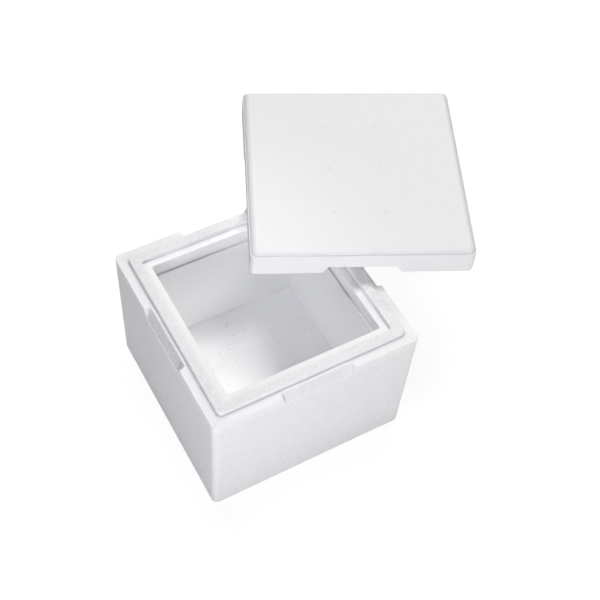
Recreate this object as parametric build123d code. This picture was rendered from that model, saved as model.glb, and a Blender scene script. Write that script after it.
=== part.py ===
from build123d import *
import os
from math import radians, tan

# Insulated box of expanded polystyrene: a moulded body and a loose moulded lid, laid askew on its rim.
# Lengths are in millimetres, angles in degrees. The origin is the middle of the body's underside, +Z is up,
# and the front of the body faces -Y.

# Body, outside. The plan is square and measured at the rim, and the walls lean in towards the underside.
side = 300.0
ledge_height = 210.0
outer_draft = 0.5
outer_corner = 8.0
base_round = 4.0
ledge_round = 1.5

# Rim, from the outside in: outer ledge, raised tongue, inner ledge.
outer_ledge = 13.5
tongue_width = 15.0
tongue_height = 6.5
tongue_draft = 6.0
tongue_corner = 7.0
tongue_inner_corner = 4.0
tongue_round = 1.5
inner_ledge = 10.0

# Inside, from the rim down: seat for the lid's plug, narrow step, well, floor.
seat_depth = 22.5
seat_corner = 5.0
seat_round = 1.2
step_width = 2.5
inner_draft = 0.5
well_corner = 6.0
floor_round = 4.0
floor_thickness = 38.5

# Finger scoops, one in the middle of each side, in the body's rim and mirrored in the lid's skirt.
# The reach is measured in from the face, the depth along the face, and the ends lean inwards.
scoop_length = 106.0
scoop_depth = 13.0
scoop_reach = 9.7
scoop_lean = 7.0
scoop_corner = 5.0
scoop_tip_corner = 1.5

# Lid, above its seat: a skirt, a fine shoulder and a crown with a rounded edge.
skirt_height = 35.0
shoulder_width = 1.8
crown_height = 6.4
crown_round = 5.6

# Lid, below its seat: a groove over the tongue and a plug inside the inner ledge.
groove_clearance = 0.6
plug_depth = 12.6
plug_clearance = 1.0
plug_draft = 2.0
plug_round = 3.0

# Round moulding marks on the lid's crown, in two rows of three.
mark_radius = 2.2
mark_depth = 0.5
mark_pitch_x = 72.0
mark_pitch_y = 78.0

# The lid as it lies: its centre beside the body's, in shares of the side, turned, just clear of the tongue.
lid_shift_x_share = 0.6405
lid_shift_y_share = 0.3354
lid_turn = -25.4
lid_rest_gap = 0.2

# How far a cutting shape runs past the face that it opens.
overrun = 2.0

# Plan widths that follow from the rim's rings.
tongue_outer_width = side - 2 * outer_ledge
tongue_inner_width = tongue_outer_width - 2 * tongue_width
seat_width = tongue_inner_width - 2 * inner_ledge
tongue_top = ledge_height + tongue_height
seat_floor = ledge_height - seat_depth


def narrowing(height, draft):
    """Loss of width over a height, with both sides leaning in by the draft."""
    return 2 * height * tan(radians(draft))


def square_face(width, corner, height):
    """Level square with rounded corners."""
    return Plane.XY.offset(height) * RectangleRounded(width, width, corner)


def drafted_block(width, corner, start, end, draft):
    """Rounded square block, full width at the start height and narrower by the draft at the end height."""
    end_width = width - narrowing(abs(end - start), draft)
    return loft([square_face(width, corner, start), square_face(end_width, corner, end)], ruled=True)


def lowest_edges(solid):
    """Edges round the underside."""
    return solid.edges().group_by(Axis.Z)[0]


def highest_edges(solid):
    """Edges round the top."""
    return solid.edges().group_by(Axis.Z)[-1]


def tongue_ring(clearance):
    """Drafted ring that stands on the mating plane, grown by a clearance on every face."""
    height = tongue_height + clearance
    outer = drafted_block(tongue_outer_width + 2 * clearance, tongue_corner + clearance, 0, height, tongue_draft)
    flare = narrowing(height, tongue_draft)
    inner_width = tongue_inner_width - 2 * clearance + flare
    inner = drafted_block(inner_width, tongue_inner_corner, height, 0, tongue_draft)
    return outer - inner


def scoop_cutters():
    """Four slanted scoops below the mating plane, each deepest at the face's edge and running out down the face."""
    growth = 1 + overrun / scoop_depth
    mouth_reach = scoop_reach * growth
    mouth_length = scoop_length - 2 * scoop_lean + 2 * scoop_lean * growth
    tip_length = scoop_length - 2 * scoop_lean

    # Both ends run outwards past the face by one reach, so only the inner half of the shape cuts.
    mouth = Pos(0, (mouth_reach - scoop_reach) / 2, overrun) * RectangleRounded(
        mouth_length, mouth_reach + scoop_reach, scoop_corner
    )
    tip = Pos(0, -scoop_reach / 2, -scoop_depth) * RectangleRounded(tip_length, scoop_reach, scoop_tip_corner)
    cutter = Pos(0, -side / 2, 0) * loft([mouth, tip], ruled=True)
    return [Rot(0, 0, turn) * cutter for turn in range(0, 360, 90)]


def make_body():
    """Thick-walled box with its rim tongue, plug seat, stepped well and finger scoops."""
    block = drafted_block(side, outer_corner, ledge_height, 0, outer_draft)
    block = fillet(lowest_edges(block), base_round)
    block = fillet(highest_edges(block), ledge_round)

    seat = drafted_block(seat_width, seat_corner, ledge_height, seat_floor, inner_draft)
    well_width = seat_width - narrowing(seat_depth, inner_draft) - 2 * step_width
    well = drafted_block(well_width, well_corner, seat_floor, floor_thickness, inner_draft)
    well = fillet(lowest_edges(well), floor_round)
    block = block - seat - well
    mouth = block.faces().sort_by(Axis.Z)[-1].inner_wires()[0]
    block = fillet(mouth.edges(), seat_round)

    tongue = tongue_ring(0)
    tongue = fillet(highest_edges(tongue), tongue_round)
    body = block + Pos(0, 0, ledge_height) * tongue
    for cutter in scoop_cutters():
        body = body - Pos(0, 0, ledge_height) * cutter
    return body


def make_lid():
    """Grooved slab with a plug below, its mating plane at zero height."""
    slab = drafted_block(side, outer_corner, 0, skirt_height, outer_draft)
    crown_width = side - narrowing(skirt_height, outer_draft) - 2 * shoulder_width
    crown_top = skirt_height + crown_height
    crown = drafted_block(crown_width, crown_round + shoulder_width, skirt_height, crown_top, outer_draft)
    crown = fillet(highest_edges(crown), crown_round)

    plug_width = seat_width - 2 * plug_clearance
    plug = drafted_block(plug_width, seat_corner, 0, -plug_depth, plug_draft)
    plug = fillet(lowest_edges(plug), plug_round)

    lid = slab + crown + plug - tongue_ring(groove_clearance)
    for cutter in scoop_cutters():
        lid = lid - cutter.mirror(Plane.XY)
    for place in GridLocations(mark_pitch_x, mark_pitch_y, 2, 3):
        mark = Cylinder(mark_radius, mark_depth + overrun, align=(Align.CENTER, Align.CENTER, Align.MIN))
        lid = lid - Pos(0, 0, crown_top - mark_depth) * place * mark
    return lid


def lid_place():
    """The plug's underside on the rim tongue, the lid level, moved back and to the right and turned."""
    height = tongue_top + lid_rest_gap + plug_depth
    return Pos(lid_shift_x_share * side, lid_shift_y_share * side, height) * Rot(0, 0, lid_turn)


os.makedirs("parts", exist_ok=True)
export_step(make_body(), "parts/body.step")
export_step(lid_place() * make_lid(), "parts/lid.step")
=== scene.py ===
"""Insulated box of white bead foam, with its lid laid askew on the rim."""
import math
from collections import namedtuple

import bmesh
import bpy
import numpy as np
from bpy.props import FloatProperty, FloatVectorProperty, PointerProperty
from mathutils import Matrix, Vector


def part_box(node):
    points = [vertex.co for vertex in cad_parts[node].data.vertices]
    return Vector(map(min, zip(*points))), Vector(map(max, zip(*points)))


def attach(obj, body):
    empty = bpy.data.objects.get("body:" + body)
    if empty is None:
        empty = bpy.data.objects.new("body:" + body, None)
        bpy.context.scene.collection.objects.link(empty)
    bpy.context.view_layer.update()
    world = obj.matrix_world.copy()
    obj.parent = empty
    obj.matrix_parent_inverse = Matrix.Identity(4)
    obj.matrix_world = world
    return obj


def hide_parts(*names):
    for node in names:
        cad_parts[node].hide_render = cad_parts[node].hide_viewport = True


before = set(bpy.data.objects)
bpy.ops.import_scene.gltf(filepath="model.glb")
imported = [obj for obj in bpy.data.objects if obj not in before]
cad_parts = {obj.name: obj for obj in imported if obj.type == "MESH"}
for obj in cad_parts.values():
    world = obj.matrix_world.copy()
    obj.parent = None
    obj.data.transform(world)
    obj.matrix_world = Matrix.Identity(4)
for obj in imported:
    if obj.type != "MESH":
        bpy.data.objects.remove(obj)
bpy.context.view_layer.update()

bl_info = {
    "name": "Foam Insulated Box",
    "version": (1, 0, 0),
    "blender": (4, 5, 0),
    "location": "3D View > Sidebar > Foam Box",
    "description": "Moulds an insulated box of bead foam and its loose lid on the packed frame",
    "category": "Object",
}

# The packed frame gives the outer sizes and the place of the lid, in metres.
BODY_LOW, BODY_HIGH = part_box("body")
LID_LOW, LID_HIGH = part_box("lid")
LID_MIDDLE = (LID_LOW + LID_HIGH) / 2
SIDE = round(BODY_HIGH.x - BODY_LOW.x, 3)

# Steps of the mesh along half a side of the body: a scoop's length, its corner arc, its end, the
# roll onto the face and the rest of the face. The lid, with its marks, has its own counts for the
# scoop's length and the face.
SCOOP_STEPS = 16
ARC_STEPS = 6
END_STEPS = 3
ROLL_STEPS = 4
FACE_STEPS = 30
MARK_SCOOP_STEPS = 24
MARK_FACE_STEPS = 28

# Steps round an upright corner and over a rounded edge.
CORNER_STEPS = 10
ROUND_STEPS = 5

# Steps of the floor's lines and dots: a line's corner and section, a dot's round and section.
LINE_CORNER_STEPS = 5
LINE_SECTION_STEPS = 9
DOT_STEPS = 12
DOT_SECTION_STEPS = 7

# Edges sharper than the angle stay sharp, and points closer than the length are one.
SHARP_ANGLE = math.radians(38.0)
WELD = 1e-6

# How far the painted shade of a crease, or the wear and painted highlight of an edge, reaches along
# the skin, in metres.
CREVICE_REACH = 0.0016
EDGE_REACH = 0.0016

# The largest share of a span that a rounding takes up, and how deep an edge wears, in beads.
ROUND_LIMIT = 0.45
WEAR = 0.06

# Whole numbers that scramble the place of a lattice corner.
LATTICE_FACTORS = (73856093, 19349663, 83492791)
LATTICE_SCRAMBLE = 1274126177

# Bead pattern: a seam's width and a pit's start and end in shares of a bead, then the scales of the
# noises, the first two in waves for each bead and the clouds in waves for each metre.
SEAM_WIDTH = 0.12
PIT_START, PIT_END = 0.45, 0.9
FINE_SCALE, MOTTLE_SCALE, CLOUD_SCALE = 2.4, 0.35, 14.0

# How much painted shade darkens the floor's lines and dots.
LINE_SHADE = 0.18
DOT_SHADE = 0.36

# Grain of the well's floor and of the lid's underside, skirt and crown.
FLOOR_GRAIN = 0.2
UNDER_GRAIN = 0.6
SKIRT_GRAIN = 0.15
CROWN_GRAIN = 0.25


def length(name, description, default):
    """A length of the model, in metres."""
    return FloatProperty(
        name=name, description=description, default=default, min=0.0, unit="LENGTH", precision=4
    )


def lean(name, description, default):
    """An angle of the model, in radians, given in degrees."""
    return FloatProperty(
        name=name, description=description, default=math.radians(default), subtype="ANGLE"
    )


def colour(name, description, default):
    """A colour of the finish or the stage."""
    return FloatVectorProperty(
        name=name,
        description=description,
        default=default,
        size=3,
        min=0.0,
        max=1.0,
        subtype="COLOR",
    )


def share(name, description, default):
    """A plain share from nothing to all."""
    return FloatProperty(
        name=name, description=description, default=default, min=0.0, max=1.0, subtype="FACTOR"
    )


class FoamBodySizes(bpy.types.PropertyGroup):
    """Sizes of the moulded body, and of the rings that the lid shares with it."""

    side: length("Side", "Outside width at the rim", SIDE)
    outer_corner: length("Outer corner", "Radius of the upright outer corners", 0.008)
    outer_draft: lean("Outer draft", "Lean of the outer walls", 0.5)
    base_round: length("Base round", "Rounding along the underside", 0.004)
    ledge_round: length("Ledge round", "Rounding along the outer edge of the rim", 0.0015)
    outer_ledge: length("Outer ledge", "Width of the ledge outside the tongue", 0.0135)
    tongue_width: length("Tongue width", "Width of the raised tongue at its foot", 0.015)
    tongue_height: length("Tongue height", "Height of the raised tongue", 0.0065)
    tongue_draft: lean("Tongue draft", "Lean of the tongue's faces", 6.0)
    tongue_corner: length("Tongue corner", "Outer corner radius of the tongue", 0.007)
    tongue_inner_corner: length("Tongue inner corner", "Inner corner radius of the tongue", 0.004)
    tongue_round: length("Tongue round", "Rounding along the tongue's top", 0.0015)
    inner_ledge: length("Inner ledge", "Width of the ledge inside the tongue", 0.010)
    seat_depth: length("Seat depth", "Depth of the seat for the lid's plug", 0.0225)
    seat_corner: length("Seat corner", "Corner radius of the seat", 0.0034)
    seat_round: length("Seat round", "Rounding along the mouth of the seat", 0.0012)
    step_width: length("Step width", "Width of the step below the seat", 0.0025)
    inner_draft: lean("Inner draft", "Lean of the inner walls", 0.5)
    well_corner: length("Well corner", "Corner radius of the well", 0.006)
    floor_round: length("Floor round", "Rounding along the floor of the well", 0.002)
    floor_thickness: length("Floor thickness", "Thickness of the floor", 0.0385)
    scoop_length: length("Scoop length", "Length of a finger scoop at its mouth", 0.106)
    scoop_depth: length("Scoop depth", "How far a scoop runs down the face", 0.013)
    scoop_reach: length("Scoop reach", "How far a scoop reaches in at its mouth", 0.0097)
    scoop_lean: length("Scoop lean", "How far each end of a scoop leans in", 0.007)
    scoop_corner: length("Scoop corner", "Corner radius of a scoop at its mouth", 0.005)
    scoop_tip_corner: length("Scoop tip corner", "Corner radius of a scoop at its tip", 0.0015)
    scoop_lip: length("Scoop lip", "Width of the fine lip along the foot of a scoop", 0.0007)
    soft_edge: length("Soft edge", "Rounding of the fine edges and roots", 0.0006)
    line_width: length("Floor line width", "Width of the well floor's fine lines", 0.0010)
    line_height: length("Floor line height", "Height of the well floor's lines and dots", 0.0004)
    dot_radius: length("Floor dot radius", "Radius of the well floor's vent dots", 0.0013)


class FoamLidSizes(bpy.types.PropertyGroup):
    """Sizes of the moulded lid and how it lies."""

    skirt_height: length("Skirt height", "Height of the upright skirt", 0.035)
    shoulder_width: length("Shoulder width", "Width of the fine shoulder round the crown", 0.0018)
    crown_height: length("Crown height", "Height of the crown above the shoulder", 0.0064)
    crown_round: length("Crown round", "Width of the soft chamfer round the crown's top", 0.0066)
    crown_bead: length("Crown bead", "Height of the fine bead above the chamfer", 0.00025)
    groove_clearance: length("Groove clearance", "Room round the body's tongue", 0.0006)
    plug_depth: length("Plug depth", "Depth of the plug below the skirt", 0.0126)
    plug_clearance: length("Plug clearance", "Room between plug and seat on each side", 0.001)
    plug_draft: lean("Plug draft", "Lean of the plug's sides", 2.0)
    plug_round: length("Plug round", "Rounding along the plug's underside", 0.003)
    mark_radius: length("Mark radius", "Radius of a round moulding mark", 0.0022)
    mark_depth: length("Mark depth", "Depth of a round moulding mark", 0.0005)
    mark_pitch_x: length("Mark pitch X", "Spacing of the marks across the lid", 0.072)
    mark_pitch_y: length("Mark pitch Y", "Spacing of the marks along the lid", 0.078)
    turn: lean("Turn", "How far the lid is turned on the rim", -25.4)


class FoamFinish(bpy.types.PropertyGroup):
    """Colours and grain of the bead foam."""

    foam: colour("Foam", "Colour of the bead foam", (0.95, 0.951, 0.9545))
    # The colour between beads, which is also the colour of the painted shade in roots, spans and
    # marks.
    hollow_and_shade: colour("Hollows", "Colour between beads and in the steps' roots", (0.46, 0.465, 0.485))
    bead: length("Bead", "Width of one bead", 0.0029)
    relief: length("Relief", "Height of the beads", 0.0004)
    roughness: share("Roughness", "Roughness of the moulded skin", 0.72)


class StudioStage(bpy.types.PropertyGroup):
    """Colours and levels of the stage."""

    floor: colour("Floor", "Colour of the floor as it lights the object", (0.75, 0.75, 0.75))
    paper: colour("Paper", "Colour of the floor as it is seen", (0.16, 0.16, 0.16))
    paper_glow: share("Paper glow", "Plain white added to the floor as it is seen", 0.895)
    lamp_spread: share("Lamp spread", "Width of each round lamp as a share of its distance", 0.265)
    spot_reach: length("Spot reach", "Distance of each soft spot from its target", 1.7)
    spot_radius: length("Spot radius", "Radius of each soft spot", 0.12)


Turn = namedtuple("Turn", "loop round rows grain crevice edge shade", defaults=(0.0, 0.0, 0.0))
# It has its loop of points, how far the rounding reaches along both spans, the rows of the span
# that follows and that span's grain, how strongly the bend carries painted shade in its crease or
# is an edge with wear and a painted highlight, and how much painted shade darkens the span that
# follows.
Turn.__doc__ = """One bend of a moulded skin.

It has its loop of points, how far the rounding reaches along both spans, the rows of the span that
follows and that span's grain, how strongly the bend is a dark crevice or a worn edge, and how much
duller the span that follows is.
"""


def thickened(low, high, count, marks=(), gain=6.0, width=0.0026):
    """Rising positions from low to just below high, closer together near each mark.

    The density is one plus a bell curve at each mark, and the positions cut its running sum into
    equal parts.
    """
    fine = np.linspace(low, high, 1500)
    bells = (gain * np.exp(-(((fine - mark) / width) ** 2)) for mark in marks)
    density = 1.0 + sum(bells, np.zeros_like(fine))
    total = np.concatenate([[0.0], np.cumsum((density[1:] + density[:-1]) / 2 * np.diff(fine))])
    return np.interp(np.linspace(0.0, total[-1], count, endpoint=False), total, fine)


def mirrored(values, sign):
    """Half a side, from its middle outwards, made a whole side."""
    return np.concatenate([sign * values[:0:-1], values])


class SideStations:
    """Where the columns stand along one side: at a scoop's mouth, at its tip and elsewhere."""

    def __init__(self, sizes, scoop_steps, face_steps, marks=()):
        """Follow a scoop's half outline from its middle.

        At the mouth it runs straight at full reach, turns out on the corner arc, comes out along
        the end and rolls over onto the face. At the tip the same columns are drawn in along the
        face. Elsewhere they are spread, and thickened at the marks.
        """
        straight = sizes.side / 2 - sizes.outer_corner
        mouth = sizes.scoop_length / 2
        tip = mouth - sizes.scoop_lean
        corner, tip_corner, roll = sizes.scoop_corner, sizes.scoop_tip_corner, sizes.soft_edge
        reach = sizes.scoop_reach
        arc = np.linspace(0.0, math.pi / 2, ARC_STEPS, endpoint=False)
        over = np.linspace(0.0, math.pi / 2, ROLL_STEPS, endpoint=False)
        end_steps = ARC_STEPS + END_STEPS + ROLL_STEPS

        mouth_along = [
            np.linspace(0.0, mouth - corner, scoop_steps, endpoint=False),
            mouth - corner + corner * np.sin(arc),
            np.full(END_STEPS, mouth),
            mouth + roll * (1 - np.cos(over)),
            np.linspace(mouth + roll, straight, face_steps + 1),
        ]
        depth = [
            np.full(scoop_steps, reach),
            reach - corner + corner * np.cos(arc),
            np.linspace(reach - corner, roll, END_STEPS, endpoint=False),
            roll * (1 - np.sin(over)),
            np.zeros(face_steps + 1),
        ]
        tip_along = [
            np.linspace(0.0, tip - tip_corner, scoop_steps, endpoint=False),
            np.linspace(tip - tip_corner, tip + tip_corner, end_steps, endpoint=False),
            np.linspace(tip + tip_corner, straight, face_steps + 1),
        ]
        inner, outer = mouth - 2 * corner, mouth + 2 * corner
        even = [
            thickened(0.0, inner, scoop_steps, marks),
            thickened(inner, outer, end_steps, marks),
            thickened(outer, straight, face_steps, marks),
            [straight],
        ]
        self.scoop = mirrored(np.concatenate(depth), 1) / reach
        self.mouth = mirrored(np.concatenate(mouth_along), -1)
        self.depth = mirrored(np.concatenate(depth), 1)
        self.tip = mirrored(np.concatenate(tip_along), -1)
        self.even = mirrored(np.concatenate(even), -1) / straight


def loop(half, corner, height, along, depth=0.0):
    """Closed loop round a rounded square at one height, counter-clockwise from above.

    One side is the given distances along it, each moved in by its depth. The corner that follows is
    a quarter circle. The other three quarters are this one turned.
    """
    middle = half - corner
    swing = np.linspace(-math.pi / 2, 0.0, CORNER_STEPS + 1)[1:-1]
    x = np.concatenate([along, middle + corner * np.cos(swing)])
    y = np.concatenate([np.full_like(along, -half) + depth, -middle + corner * np.sin(swing)])
    quarters = [np.stack(pair, axis=1) for pair in ((x, y), (-y, x), (-x, -y), (y, -x))]
    flat = np.concatenate(quarters)
    return np.column_stack([flat, np.full(len(flat), height)])


def round_loop(side_values, strengths=(1.0, 1.0, 1.0, 1.0)):
    """A value for each column of a loop: a side's values times its strength, none on corners."""
    quarter = np.concatenate([side_values, np.zeros(CORNER_STEPS - 1)])
    return np.concatenate([strength * quarter for strength in strengths])


def plain_loop(stations, half, corner, height):
    """Loop whose columns are spread evenly for its own width."""
    return loop(half, corner, height, stations.even * (half - corner))


def moulded_skin(turns):
    """Rows of points over a moulded skin, with the crevice, edge and grain of each point.

    Neighbouring loops are joined by straight spans. Each loop between them is rounded by the
    quadratic curve whose middle control point is the loop itself and whose ends lie on the two
    spans. Along the spans, crevice and edge fade with the distance from the loop that has them.
    """
    points, marks = [turns[0].loop[None]], [np.zeros((1, len(turns[0].loop), 3))]
    marks[0][..., 2] = turns[0].grain
    step = np.linspace(0.0, 1.0, ROUND_STEPS + 1)[:, None, None]
    for before, here, after in zip(turns, turns[1:], turns[2:] + [None]):
        if after is None:
            curve = here.loop[None]
            grain, shade = before.grain, before.shade
        else:
            ends = []
            for other in (before, after):
                gap = other.loop - here.loop
                distance = np.maximum(np.linalg.norm(gap, axis=1, keepdims=True), WELD)
                ends.append(here.loop + gap * np.minimum(here.round / distance, ROUND_LIMIT))
            bend = 2 * step * (1 - step) * here.loop
            curve = (1 - step) ** 2 * ends[0] + bend + step**2 * ends[1]
            grain = before.grain + (here.grain - before.grain) * step[..., 0]
            shade = before.shade + (here.shade - before.shade) * step[..., 0]
        start = points[-1][-1]
        swing = math.pi * np.arange(1, before.rows + 1) / (before.rows + 1)
        share_of_span = (1 - np.cos(swing)) / 2
        span = start + (curve[0] - start) * share_of_span[:, None, None]
        from_before = np.linalg.norm(span - before.loop, axis=2)
        to_here = np.linalg.norm(span - here.loop, axis=2)
        crevice = np.maximum(
            before.crevice * np.exp(-from_before / CREVICE_REACH),
            here.crevice * np.exp(-to_here / CREVICE_REACH),
        )
        edge = np.maximum(
            before.edge * np.exp(-from_before / EDGE_REACH),
            here.edge * np.exp(-to_here / EDGE_REACH),
        )
        points += [span, curve]
        values = np.broadcast_arrays(crevice + before.shade, edge, before.grain)
        marks.append(np.stack(values, axis=2))
        near = np.linalg.norm(curve - here.loop, axis=2)
        crevice = here.crevice * np.exp(-near / CREVICE_REACH) + shade
        edge = here.edge * np.exp(-near / EDGE_REACH)
        marks.append(np.stack(np.broadcast_arrays(crevice, edge, grain), axis=2))
    return np.concatenate(points), np.concatenate(marks)


def square_cap(stations, half, height, grain, press=None):
    """Level square closed by a grid on the columns of its sides.

    A press gives, as functions of x and y, how far the square is lowered, how dark it is and what
    is left of its grain.
    """
    lines = stations.even * half
    x, y = np.meshgrid(lines, lines)
    none = np.zeros_like(x)
    depth, dark, left = press(x, y) if press else (none, none, none + 1)
    return np.stack([x, y, height - depth], axis=2), np.stack([dark, none, grain * left], axis=2)


def floor_line(middle, half, corner, floor, width, height):
    """Fine raised line round a level rectangle, half sunk in the floor.

    The path is a rectangle with rounded corners. The section is an oval as wide as the line and
    twice as high as the line stands.
    """
    quarter = np.linspace(0.0, math.pi / 2, LINE_CORNER_STEPS)
    swing = np.concatenate([quarter + corners * math.pi / 2 for corners in range(4)])
    side = np.repeat([(1, 1), (-1, 1), (-1, -1), (1, -1)], LINE_CORNER_STEPS, axis=0)
    outward = np.stack([np.cos(swing), np.sin(swing)], axis=1)
    path = np.array(middle) + side * (np.array(half) - corner) + corner * outward
    section = np.linspace(0.0, 2 * math.pi, LINE_SECTION_STEPS)[:, None]
    flat = path + outward * width / 2 * np.cos(section)[..., None]
    level = np.broadcast_to(floor + height * np.sin(section), flat.shape[:2])
    marks = np.broadcast_to((LINE_SHADE, 0.0, FLOOR_GRAIN), (*level.shape, 3))
    return np.concatenate([flat, level[..., None]], axis=2), marks


def floor_dot(middle, floor, radius, height):
    """Small round vent mark: a flat oval turned round an upright axis, half sunk in the floor."""
    swing = np.linspace(0.0, 2 * math.pi, DOT_STEPS, endpoint=False)
    section = np.linspace(-math.pi / 2, math.pi / 2, DOT_SECTION_STEPS)[:, None]
    x = middle[0] + radius * np.cos(section) * np.cos(swing)
    y = middle[1] + radius * np.cos(section) * np.sin(swing)
    level = np.broadcast_to(floor + height * np.sin(section), x.shape)
    marks = np.broadcast_to((DOT_SHADE, 0.0, FLOOR_GRAIN), (*level.shape, 3))
    return np.stack([x, y, level], axis=2), marks


def grid_faces(rows, columns, closed):
    """Quads of a grid of points, wound so that rows run to the left of the columns' direction."""
    row = np.arange(rows - 1)[:, None] * columns
    column = np.arange(columns if closed else columns - 1)[None, :]
    following = (column + 1) % columns
    quads = [row + column, row + following, row + columns + following, row + columns + column]
    return np.stack(quads, axis=-1).reshape(-1, 4)


def lattice_noise(points, cell):
    """Smooth random field from minus one to one.

    Each corner of a cubic lattice has a scrambled whole number made a fraction, and a point blends
    the eight corners round it by three times the square less twice the cube of its place between
    them.
    """
    scaled = points / cell
    base = np.floor(scaled).astype(np.int64)
    place = scaled - base
    place = place * place * (3 - 2 * place)
    field = np.zeros(len(points))
    for offset in np.ndindex(2, 2, 2):
        node = base + np.array(offset)
        mixed = np.bitwise_xor.reduce(node * np.array(LATTICE_FACTORS), axis=1)
        mixed = ((mixed ^ (mixed >> 13)) * LATTICE_SCRAMBLE) & 0xFFFFFFFF
        value = ((mixed >> 8) & 0xFFFF) / 0x7FFF - 1
        weight = np.prod(np.where(offset, place, 1 - place), axis=1)
        field += value * weight
    return field


def cast_piece(name, grids, bead):
    """One closed mesh from a skin that closes on itself along its columns and from open caps.

    The grids are welded where they meet. Worn edges are then pressed in along the surface normal by
    a random field as coarse as the beads.
    """
    corners, faces, marks, start = [], [], [], 0
    for points, values, closed in grids:
        rows, columns = points.shape[:2]
        corners.append(points.reshape(-1, 3))
        marks.append(values.reshape(-1, 3))
        faces.append(grid_faces(rows, columns, closed) + start)
        start += rows * columns
    corners, faces, marks = np.concatenate(corners), np.concatenate(faces), np.concatenate(marks)

    mesh = bpy.data.meshes.new(name)
    mesh.from_pydata(corners, [], faces)
    for index, label in enumerate(("crevice", "edge", "grain")):
        layer = mesh.attributes.new(label, "FLOAT", "POINT")
        layer.data.foreach_set("value", np.ascontiguousarray(marks[:, index], dtype=np.float32))

    shell = bmesh.new()
    shell.from_mesh(mesh)
    bmesh.ops.remove_doubles(shell, verts=shell.verts, dist=WELD)
    shell.to_mesh(mesh)
    shell.free()

    count = len(mesh.vertices)
    place, normal = np.empty(count * 3, np.float32), np.empty(count * 3, np.float32)
    edge = np.empty(count, np.float32)
    mesh.vertices.foreach_get("co", place)
    mesh.vertices.foreach_get("normal", normal)
    mesh.attributes["edge"].data.foreach_get("value", edge)
    place, normal = place.reshape(-1, 3).astype(float), normal.reshape(-1, 3)
    pressed = WEAR * bead * edge * (1 + lattice_noise(place, bead)) / 2
    place = place - normal * pressed[:, None]
    mesh.vertices.foreach_set("co", place.astype(np.float32).ravel())
    mesh.shade_smooth()
    mesh.set_sharp_from_angle(angle=SHARP_ANGLE)
    mesh.update()
    piece = bpy.data.objects.new(name, mesh)
    bpy.context.scene.collection.objects.link(piece)
    return piece


class Shade:
    """A shader socket that takes part in Python sums. Each sum of values adds its Math nodes."""

    def __init__(self, tree, socket=None):
        self.tree, self.socket = tree, socket

    def node(self, kind, settings=None, sockets=None, output=0):
        """Add a node, set its settings, then its sockets by values or links. Give one output."""
        made = self.tree.nodes.new(kind)
        for label, value in (settings or {}).items():
            setattr(made, label, value)
        for label, value in (sockets or {}).items():
            if isinstance(value, Shade):
                self.tree.links.new(value.socket, made.inputs[label])
            else:
                made.inputs[label].default_value = value
        return Shade(self.tree, made.outputs[output] if made.outputs else None)

    def other(self, output):
        """Another output of the same node."""
        return Shade(self.tree, self.socket.node.outputs[output])

    def sum(self, operation, first, second):
        """One Math node."""
        return self.node("ShaderNodeMath", {"operation": operation}, {0: first, 1: second})

    def __add__(self, value):
        return self.sum("ADD", self, value)

    def __radd__(self, value):
        return self.sum("ADD", value, self)

    def __sub__(self, value):
        return self.sum("SUBTRACT", self, value)

    def __rsub__(self, value):
        return self.sum("SUBTRACT", value, self)

    def __mul__(self, value):
        return self.sum("MULTIPLY", self, value)

    def __rmul__(self, value):
        return self.sum("MULTIPLY", value, self)

    def step(self, low, high):
        """Zero below one value and one above the other, with a smooth rise between them."""
        limits = {"Value": self, "From Min": low, "From Max": high, "To Min": 0.0, "To Max": 1.0}
        return self.node("ShaderNodeMapRange", {"interpolation_type": "SMOOTHSTEP"}, limits)


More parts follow.
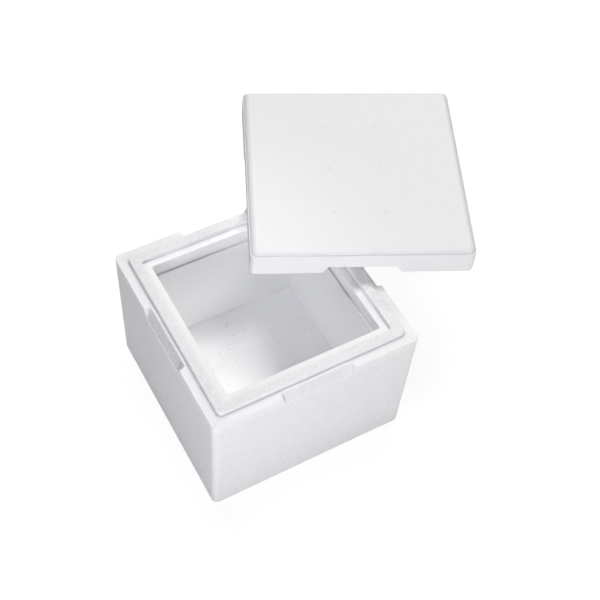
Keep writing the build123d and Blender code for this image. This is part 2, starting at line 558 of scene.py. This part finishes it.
def foam_material(name, finish):
    """Moulded bead foam: fused beads with pits between them, dark roots and a little edge wear."""
    material = bpy.data.materials.new(name)
    material.use_nodes = True
    tree = material.node_tree
    tree.nodes.clear()
    new = Shade(tree).node

    place = new("ShaderNodeTexCoord", output="Object")
    crevice = new("ShaderNodeAttribute", {"attribute_name": "crevice"}, output="Fac")
    edge = new("ShaderNodeAttribute", {"attribute_name": "edge"}, output="Fac")
    grain = new("ShaderNodeAttribute", {"attribute_name": "grain"}, output="Fac")

    cells = {"Vector": place, "Scale": 1.0 / finish.bead}
    away = new("ShaderNodeTexVoronoi", {"feature": "F1"}, cells, "Distance")
    bead_tone = new("ShaderNodeSeparateColor", None, {"Color": away.other("Color")}, "Red")
    border = new("ShaderNodeTexVoronoi", {"feature": "DISTANCE_TO_EDGE"}, cells, "Distance")
    seam = 1 - border.step(0.0, SEAM_WIDTH)
    pit = away.step(PIT_START, PIT_END)

    def noise(scale, detail):
        sockets = {"Vector": place, "Scale": scale, "Detail": detail}
        return new("ShaderNodeTexNoise", None, sockets, "Fac")

    fine = noise(FINE_SCALE / finish.bead, 2.0)
    mottle = noise(MOTTLE_SCALE / finish.bead, 3.0)
    cloud = noise(CLOUD_SCALE, 2.0)

    # Darkness is a sum of shares: the beads' pattern, less where an edge has wear and a painted
    # highlight, then the broad mottle and the painted shade.
    pattern = 0.03 + 0.06 * seam + 0.08 * pit + 0.08 * bead_tone + 0.16 * (fine - 0.5)
    # An edge loses grain and turns lighter: partly wear, partly a painted highlight along it.
    dark = grain * pattern * (1 - 0.85 * edge)
    dark = dark + (0.02 + 0.1 * grain) * (mottle - 0.5) + 0.03 * (cloud - 0.5) + 0.85 * crevice
    # A mix node's sockets share names between numbers, vectors and colours, so they go by place.
    colours = {0: dark, 6: (*finish.foam, 1.0), 7: (*finish.hollow_and_shade, 1.0)}
    tint = new("ShaderNodeMix", {"data_type": "RGBA", "clamp_factor": True}, colours, 2)

    dome = (1 - away * away) * 0.8
    height = (0.15 + grain) * (dome - 0.5 * pit - 0.3 * seam + 0.35 * fine) + 0.4 * edge * fine
    bump = {"Strength": 0.55, "Distance": finish.relief, "Height": height}
    normal = new("ShaderNodeBump", None, bump, "Normal")
    rough = finish.roughness + 0.12 * (fine - 0.5) - 0.08 * edge
    skin = {
        "Base Color": tint,
        "Roughness": rough,
        "Normal": normal,
        "Specular IOR Level": 0.25,
        "IOR": 1.45,
    }
    surface = new("ShaderNodeBsdfPrincipled", None, skin, "BSDF")
    new("ShaderNodeOutputMaterial", None, {"Surface": surface})
    return material


def scene_sizes():
    """The property groups on the scene."""
    scene = bpy.context.scene
    return scene.foam_body, scene.foam_lid, scene.foam_finish, scene.foam_stage


# Plain marks on the well's floor, in metres: panels by middle and half size, and vent dots.
FLOOR_PANELS = (
    ((0.0, 0.043), (0.029, 0.0105)),
    ((0.070, 0.039), (0.028, 0.011)),
    ((-0.070, 0.039), (0.028, 0.011)),
    ((-0.0005, 0.077), (0.012, 0.011)),
)
DOT_COLUMNS = (-0.097, -0.044, -0.026, 0.026, 0.044, 0.097)
FLOOR_DOTS = [(x, y) for x in DOT_COLUMNS for y in (0.0225, 0.0455)]
FLOOR_DOTS += [(x, y) for x in (-0.0105, 0.0095) for y in (0.067, 0.0860)]
PANEL_CORNER = 0.0015

# How much painted shade darkens the body's scoops, and how much grainier they are than the ends of
# the walls: front, right, back and left.
SCOOP_SHADES = (0.2, 0.2, 0.2, 0.26)
SCOOP_GRAINS = (-0.1, 0.3, 0.3, 0.8)

# Rounding of the tongue's inner edge as a share of its outer edge's.
TONGUE_INNER_ROUND = 0.4

# A painted shadow line under the seat is darkest in some stretches of its round: mean strength,
# stretches and their turn.
SEAT_SHADOW = 0.65
SEAT_SHADOW_WAVES = 3
SEAT_SHADOW_TURN = 0.35


class FOAMBOX_OT_body(bpy.types.Operator):
    """Mould the body: drafted walls, rim with tongue, plug seat, stepped well and finger scoops"""

    bl_idname = "foambox.body"
    bl_label = "Mould Body"

    def execute(self, context):
        """Carry the wall's profile round, from the underside's middle to the well's floor."""
        body, _, finish, _ = scene_sizes()
        stations = SideStations(body, SCOOP_STEPS, FACE_STEPS)
        top = BODY_HIGH.z
        ledge = top - body.tongue_height
        tip = ledge - body.scoop_depth
        seat = ledge - body.seat_depth
        floor = body.floor_thickness
        rim = body.side / 2
        wall = math.tan(body.outer_draft)
        well = math.tan(body.inner_draft)
        slope = body.tongue_height * math.tan(body.tongue_draft)
        tongue_out = rim - body.outer_ledge
        tongue_in = tongue_out - body.tongue_width
        mouth = tongue_in - body.inner_ledge
        seat_foot = mouth - body.seat_depth * well
        step_in = seat_foot - body.step_width
        floor_out = step_in - (seat - floor) * well
        cap_half = floor_out - body.well_corner
        foot = rim - ledge * wall
        lower = rim - body.scoop_depth * wall
        soft = body.soft_edge
        inner_round = TONGUE_INNER_ROUND * body.tongue_round

        def at(half, corner, height):
            return plain_loop(stations, half, corner, height)

        # Along the foot of a scoop runs a fine lip, an eighth as high as it is wide.
        tip_loop = loop(lower, body.outer_corner, tip, stations.tip)
        shelf = tip + body.scoop_lip / 8
        lip = body.scoop_lip * stations.scoop
        shelf_loop = loop(lower, body.outer_corner, shelf, stations.tip, lip)
        lip_loop = loop(rim, body.outer_corner, ledge, stations.mouth, stations.depth)
        scoop_grain = round_loop(stations.scoop, SCOOP_GRAINS)
        scoop_shade = round_loop(stations.scoop, SCOOP_SHADES)
        tongue_edge = at(tongue_out - slope, body.tongue_corner, top)
        tongue_inside = at(tongue_in + slope, body.tongue_inner_corner, top)
        floor_loop = at(floor_out, body.well_corner, floor)
        seat_loop = at(seat_foot, body.seat_corner, seat)
        swing = np.arctan2(seat_loop[:, 1], seat_loop[:, 0])
        seat_shadow = SEAT_SHADOW + SEAT_SHADOW * np.cos(SEAT_SHADOW_WAVES * swing - SEAT_SHADOW_TURN)
        # Here shade is painted into the colour: in the creases at the tongue's feet, under the seat
        # and round the floor, and over the walls, the tongue's top and the scoops. The edges get
        # wear and a painted highlight.
        turns = [
            Turn(at(0.0, 0.0, 0.0), 0.0, 5, 0.7),
            Turn(at(foot, body.outer_corner, 0.0), body.base_round, 12, 0.75, edge=0.6, shade=0.06),
            Turn(tip_loop, soft / 3, 1, 0.3, edge=0.6),
            Turn(shelf_loop, soft / 3, 4, 0.7 + scoop_grain, shade=scoop_shade),
            Turn(lip_loop, body.ledge_round, 5, 0.4, edge=0.8),
            Turn(at(tongue_out, body.tongue_corner, ledge), soft, 3, 0.7, crevice=1.0),
            Turn(tongue_edge, body.tongue_round, 5, 1.15, edge=1.0, shade=0.03),
            Turn(tongue_inside, inner_round, 3, 0.6, edge=0.7),
            Turn(at(tongue_in, body.tongue_inner_corner, ledge), soft, 4, 0.1, crevice=0.35),
            Turn(at(mouth, body.seat_corner, ledge), body.seat_round, 6, 0.15, edge=0.6),
            Turn(seat_loop, soft, 3, 0.12, crevice=seat_shadow),
            Turn(at(step_in, body.well_corner, seat), soft, 12, 0.1, edge=0.4),
            Turn(floor_loop, body.floor_round, 3, FLOOR_GRAIN, crevice=0.18),
            Turn(at(cap_half, 0.0, floor), 0.0, 0, FLOOR_GRAIN),
        ]
        skin, skin_marks = moulded_skin(turns)
        cap, cap_marks = square_cap(stations, cap_half, floor, FLOOR_GRAIN)
        grids = [(skin, skin_marks, True), (cap, cap_marks, False)]
        for middle, half in FLOOR_PANELS:
            line = floor_line(middle, half, PANEL_CORNER, floor, body.line_width, body.line_height)
            grids.append((*line, True))
        for middle in FLOOR_DOTS:
            dot = floor_dot(middle, floor, body.dot_radius, body.line_height)
            grids.append((*dot, True))
        piece = cast_piece("foam_body", grids, finish.bead)
        piece.data.materials.append(foam_material("foam_body", finish))
        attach(piece, "box")
        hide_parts("body")
        return {"FINISHED"}


# The crown's chamfer in shares of its width: how far down it starts, and how far in and down its
# middle bend lies.
CHAMFER_DROP = 0.85
BROW_IN = 0.32
BROW_DROP = 0.3

# How far the bead on the crown runs in along the top, in heights of the bead.
BEAD_RUN = 6

# A moulding mark in shares of its radius: where its ring lies, the ring's width and the button's.
# Then how much painted shade darkens the ring, and how far the button stands up for each depth of
# the ring.
RING_PLACE, RING_WIDTH, BUTTON_WIDTH = 0.9, 0.25, 0.5
RING_SHADE, BUTTON_RISE = 0.3, 0.7


class FOAMBOX_OT_lid(bpy.types.Operator):
    """Mould the lid: plug, groove, skirt with finger scoops, fine shoulder and soft crown"""

    bl_idname = "foambox.lid"
    bl_label = "Mould Lid"

    def execute(self, context):
        """Carry the lid's profile round, from the plug's middle to the crown, and lay it down."""
        body, lid, finish, _ = scene_sizes()
        rim = body.side / 2
        wall = math.tan(body.outer_draft)
        slope = math.tan(body.tongue_draft)
        soft = body.soft_edge
        clear = lid.groove_clearance
        groove = body.tongue_height + clear
        tongue_out = rim - body.outer_ledge + clear
        tongue_in = rim - body.outer_ledge - body.tongue_width - clear
        groove_in = tongue_in + groove * slope
        groove_out = tongue_out - groove * slope
        groove_corner = body.tongue_corner + clear
        inner_corner = body.tongue_inner_corner
        plug = rim - body.outer_ledge - body.tongue_width - body.inner_ledge - lid.plug_clearance
        plug_foot = plug - lid.plug_depth * math.tan(lid.plug_draft)
        shoulder = rim - lid.skirt_height * wall
        top = lid.skirt_height + lid.crown_height
        crown_side = shoulder - lid.shoulder_width
        crown_corner = lid.crown_round + lid.shoulder_width
        crown = crown_side - lid.crown_height * wall
        chamfer = top - CHAMFER_DROP * lid.crown_round
        brow = crown - BROW_IN * lid.crown_round
        brow_corner = crown_corner - BROW_IN * lid.crown_round
        brow_height = top - BROW_DROP * lid.crown_round
        bead_half = crown - lid.crown_round
        bead_corner = crown_corner - lid.crown_round + soft
        inside = bead_half - BEAD_RUN * lid.crown_bead
        flat = top - lid.crown_bead
        cap_half = inside - bead_corner
        mark_lines = (0.0, lid.mark_pitch_x / 2, lid.mark_pitch_y)
        stations = SideStations(body, MARK_SCOOP_STEPS, MARK_FACE_STEPS, mark_lines)

        def at(half, corner, height):
            return plain_loop(stations, half, corner, height)

        def press(x, y):
            """Round moulding marks in two rows of three: a ring pressed in round a raised button.

            Both are bell curves of the distance from the mark's middle. The ring is deepest a
            little inside the mark's edge.
            """
            across = np.abs(x) - lid.mark_pitch_x / 2
            along = y - lid.mark_pitch_y * np.clip(np.round(y / lid.mark_pitch_y), -1, 1)
            away = np.hypot(across, along) / lid.mark_radius
            ring = np.exp(-(((away - RING_PLACE) / RING_WIDTH) ** 2))
            button = np.exp(-((away / BUTTON_WIDTH) ** 4))
            depth = lid.mark_depth * (ring - BUTTON_RISE * button)
            return depth, RING_SHADE * ring, np.clip(2 * away - 1, 0, 1)

        lip_loop = loop(rim, body.outer_corner, 0.0, stations.mouth, stations.depth)
        lower = rim - body.scoop_depth * wall
        tip_loop = loop(lower, body.outer_corner, body.scoop_depth, stations.tip)
        scooped = round_loop(stations.scoop)
        scoop_grain = SKIRT_GRAIN + 0.5 * scooped
        plug_loop = at(plug_foot, body.seat_corner, -lid.plug_depth)
        crown_foot = at(crown_side, crown_corner, lid.skirt_height)
        bend = lid.crown_round / 2
        # Here shade is painted into the colour: in the creases of the plug, groove and crown's
        # foot, and over the scoops and the crown's chamfer. The edges get wear and a painted
        # highlight.
        turns = [
            Turn(at(0.0, 0.0, -lid.plug_depth), 0.0, 5, UNDER_GRAIN),
            Turn(plug_loop, lid.plug_round, 4, UNDER_GRAIN, edge=0.6),
            Turn(at(plug, body.seat_corner, 0.0), soft, 3, UNDER_GRAIN, crevice=1.0),
            Turn(at(tongue_in, inner_corner, 0.0), soft, 3, UNDER_GRAIN, edge=0.6),
            Turn(at(groove_in, inner_corner, groove), soft, 3, UNDER_GRAIN, crevice=1.0),
            Turn(at(groove_out, groove_corner, groove), soft, 3, UNDER_GRAIN, crevice=1.0),
            Turn(at(tongue_out, groove_corner, 0.0), soft, 3, UNDER_GRAIN, edge=0.6),
            Turn(lip_loop, body.ledge_round, 4, scoop_grain, edge=1.0, shade=0.1 * scooped),
            Turn(tip_loop, 2 * soft, 5, SKIRT_GRAIN),
            Turn(at(shoulder, body.outer_corner, lid.skirt_height), soft, 2, SKIRT_GRAIN, edge=0.8),
            Turn(crown_foot, soft, 2, CROWN_GRAIN, crevice=0.9, shade=0.12),
            Turn(at(crown, crown_corner, chamfer), bend, 1, CROWN_GRAIN, edge=0.2, shade=0.14),
            Turn(at(brow, brow_corner, brow_height), bend, 1, CROWN_GRAIN, edge=0.2, shade=0.1),
            # The bead has no grain and a full edge, which paints a bright highlight line round the
            # crown.
            Turn(at(bead_half, bead_corner, top), 2 * lid.crown_bead, 1, 0.0, edge=1.0),
            Turn(at(inside, bead_corner, flat), 2 * lid.crown_bead, 1, CROWN_GRAIN),
            Turn(at(cap_half, 0.0, flat), 0.0, 0, CROWN_GRAIN),
        ]
        skin, skin_marks = moulded_skin(turns)
        cap, cap_marks = square_cap(stations, cap_half, flat, CROWN_GRAIN, press)
        cosine, sine = math.cos(lid.turn), math.sin(lid.turn)
        turned = np.array([[cosine, sine, 0.0], [-sine, cosine, 0.0], [0.0, 0.0, 1.0]])
        place = np.array([LID_MIDDLE.x, LID_MIDDLE.y, LID_HIGH.z - top])
        skin, cap = skin @ turned + place, cap @ turned + place
        grids = [(skin, skin_marks, True), (cap, cap_marks, False)]
        piece = cast_piece("foam_lid", grids, finish.bead)
        piece.data.materials.append(foam_material("foam_lid", finish))
        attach(piece, "lid")
        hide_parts("lid")
        return {"FINISHED"}


# Each lamp's name, bearing from the front towards the right and height above the level in degrees,
# distance in metres, power in watts and colour. The high lamps hang far off, so a lifted lid is lit
# much as one on the rim.
FAR, NEAR = 5.0, 1.7
WARM, COOL, SHADE_SIDE = (1.0, 0.995, 0.989), (0.997, 0.99, 0.999), (0.84, 0.868, 1.0)
LAMPS = (
    ("key_back", 180.0, 74.0, FAR, 79.5, WARM),
    ("key_right", 120.0, 74.0, FAR, 55.5, WARM),
    ("back_right", 150.0, 46.0, FAR, 51.1, WARM),
    ("sky_left", -60.0, 46.0, FAR, 18.5, SHADE_SIDE),
    ("fill_left", -60.0, 30.0, NEAR, 1.85, SHADE_SIDE),
    ("fill_right", 30.0, 30.0, NEAR, 4.15, COOL),
    ("front_low", -30.0, 8.0, NEAR, 10.1, COOL),
)
LAMP_TARGET = Vector((0.05, 0.05, 0.15))

# Soft spots that look into the well or at the skirt: name, bearing, height and power as above, then
# the place that each looks at in metres and the width of its beam in degrees.
SPOTS = (
    ("well_front", 0.0, 60.0, 12.2, Vector((0.0, 0.0, 0.16)), 12.0),
    ("well_back", 180.0, 60.0, 20.0, Vector((-0.01, 0.02, 0.1)), 8.0),
    ("skirt_left", -60.0, 10.0, 19.0, Vector((0.03, 0.01, 0.25)), 5.0),
)

# The camera as fitted to the photo's frame of 600 by 600: place in metres, angles in degrees, focal
# length in widths of the frame.
CAMERA_PLACE = Vector((-0.45696, -0.76894, 1.45007))
CAMERA_BEARING = 33.745
CAMERA_DROP = 54.205
CAMERA_ROLL = 5.828
CAMERA_FOCUS = 1155.69 / 600.0

# Width of the floor in metres, and how often light goes to and fro between white faces.
FLOOR_WIDTH = 12.0
DIFFUSE_BOUNCES = 12


class FOAMBOX_OT_stage(bpy.types.Operator):
    """Set the stage: white floor, soft lamps and the camera"""

    bl_idname = "foambox.stage"
    bl_label = "Set Stage"

    def execute(self, context):
        """Make the floor, the world, the lamps and the camera."""
        stage = scene_sizes()[3]
        self.lay_floor(stage)
        self.fill_world()
        for name, bearing, height, reach, power, tone in LAMPS:
            light = bpy.data.lights.new(name, "AREA")
            light.color = tone
            light.shape = "DISK"
            light.size = stage.lamp_spread * reach
            self.hang_lamp(light, bearing, height, power, LAMP_TARGET, reach)
        for name, bearing, height, power, target, beam in SPOTS:
            light = bpy.data.lights.new(name, "SPOT")
            light.shadow_soft_size = stage.spot_radius
            light.spot_size = math.radians(beam)
            light.spot_blend = 1.0
            self.hang_lamp(light, bearing, height, power, target, stage.spot_reach)
        self.place_camera(context.scene)
        context.scene.view_settings.view_transform = "Standard"
        context.scene.cycles.diffuse_bounces = DIFFUSE_BOUNCES
        return {"FINISHED"}

    def seen(self, new):
        """One for the rays that show a surface to the camera, to gloss or through glass."""
        path = new("ShaderNodeLightPath", output="Is Camera Ray")
        return path + path.other("Is Glossy Ray") + path.other("Is Transmission Ray")

    def lay_floor(self, stage):
        """A wide level sheet: seen near white with a shadow, it lights the part as plain paper."""
        half = FLOOR_WIDTH / 2
        corners = [(-half, -half, 0), (half, -half, 0), (half, half, 0), (-half, half, 0)]
        mesh = bpy.data.meshes.new("floor")
        mesh.from_pydata(corners, [], [(0, 1, 2, 3)])
        floor = bpy.data.objects.new("floor", mesh)
        bpy.context.scene.collection.objects.link(floor)
        material = bpy.data.materials.new("floor_paper")
        material.use_nodes = True
        tree = material.node_tree
        tree.nodes.clear()
        new = Shade(tree).node
        bounced = new("ShaderNodeBsdfDiffuse", None, {"Color": (*stage.floor, 1.0)}, "BSDF")
        shaded = new("ShaderNodeBsdfDiffuse", None, {"Color": (*stage.paper, 1.0)}, "BSDF")
        glow = new("ShaderNodeEmission", None, {"Strength": stage.paper_glow}, "Emission")
        shown = new("ShaderNodeAddShader", None, {0: shaded, 1: glow}, "Shader")
        sides = {"Fac": self.seen(new), 1: bounced, 2: shown}
        both = new("ShaderNodeMixShader", None, sides, "Shader")
        new("ShaderNodeOutputMaterial", None, {"Surface": both})
        mesh.materials.append(material)

    def fill_world(self):
        """White where it is seen, dark as a source of light."""
        world = bpy.data.worlds.new("white_room")
        bpy.context.scene.world = world
        world.use_nodes = True
        tree = world.node_tree
        tree.nodes.clear()
        new = Shade(tree).node
        white = {"Color": (1.0, 1.0, 1.0, 1.0), "Strength": self.seen(new)}
        light = new("ShaderNodeBackground", None, white, "Background")
        new("ShaderNodeOutputWorld", None, {"Surface": light})

    def hang_lamp(self, light, bearing, height, power, target, reach):
        """Hang a lamp at its bearing and height, at a distance from the place that it looks at."""
        bearing, height = math.radians(bearing), math.radians(height)
        level = math.cos(height)
        towards = Vector((level * math.sin(bearing), -level * math.cos(bearing), math.sin(height)))
        light.energy = power
        lamp = bpy.data.objects.new(light.name, light)
        lamp.location = target + towards * reach
        lamp.rotation_euler = (-towards).to_track_quat("-Z", "Y").to_euler()
        bpy.context.scene.collection.objects.link(lamp)

    def place_camera(self, scene):
        """Look along the bearing and the drop, then roll about the line of sight."""
        bearing, drop, roll = map(math.radians, (CAMERA_BEARING, CAMERA_DROP, CAMERA_ROLL))
        ahead = math.cos(drop)
        forward = Vector((math.sin(bearing) * ahead, math.cos(bearing) * ahead, -math.sin(drop)))
        level = forward.cross(Vector((0.0, 0.0, 1.0))).normalized()
        upright = level.cross(forward)
        right = level * math.cos(roll) + upright * math.sin(roll)
        up = upright * math.cos(roll) - level * math.sin(roll)
        data = bpy.data.cameras.new("camera")
        data.lens = CAMERA_FOCUS * data.sensor_width
        camera = bpy.data.objects.new("camera", data)
        turn = Matrix((right, up, -forward)).transposed()
        camera.matrix_world = Matrix.Translation(CAMERA_PLACE) @ turn.to_4x4()
        scene.collection.objects.link(camera)
        scene.camera = camera


class FOAMBOX_PT_panel(bpy.types.Panel):
    """Steps and sizes of the foam box"""

    bl_idname = "FOAMBOX_PT_panel"
    bl_label = "Foam Box"
    bl_space_type = "VIEW_3D"
    bl_region_type = "UI"
    bl_category = "Foam Box"

    def draw(self, context):
        """List the operators, each over its own sizes."""
        body, lid, finish, stage = scene_sizes()
        steps = (
            (FOAMBOX_OT_body, (body, finish)),
            (FOAMBOX_OT_lid, (lid,)),
            (FOAMBOX_OT_stage, (stage,)),
        )
        for operator, groups in steps:
            box = self.layout.box()
            box.operator(operator.bl_idname)
            for group in groups:
                for label in group.__annotations__:
                    box.prop(group, label)


GROUPS = {
    "foam_body": FoamBodySizes,
    "foam_lid": FoamLidSizes,
    "foam_finish": FoamFinish,
    "foam_stage": StudioStage,
}
CLASSES = (*GROUPS.values(), FOAMBOX_OT_body, FOAMBOX_OT_lid, FOAMBOX_OT_stage, FOAMBOX_PT_panel)


def register():
    """Register the classes and hang the sizes on the scene."""
    for each in CLASSES:
        bpy.utils.register_class(each)
    for label, group in GROUPS.items():
        setattr(bpy.types.Scene, label, PointerProperty(type=group))


def unregister():
    """Take the sizes off the scene and unregister the classes."""
    for label in GROUPS:
        delattr(bpy.types.Scene, label)
    for each in reversed(CLASSES):
        bpy.utils.unregister_class(each)


def main():
    """Mould both pieces, set the stage and write the sizes of the frame and of the dressed part."""
    register()
    bpy.ops.foambox.body()
    bpy.ops.foambox.lid()
    bpy.ops.foambox.stage()


if __name__ == "__main__":
    main()
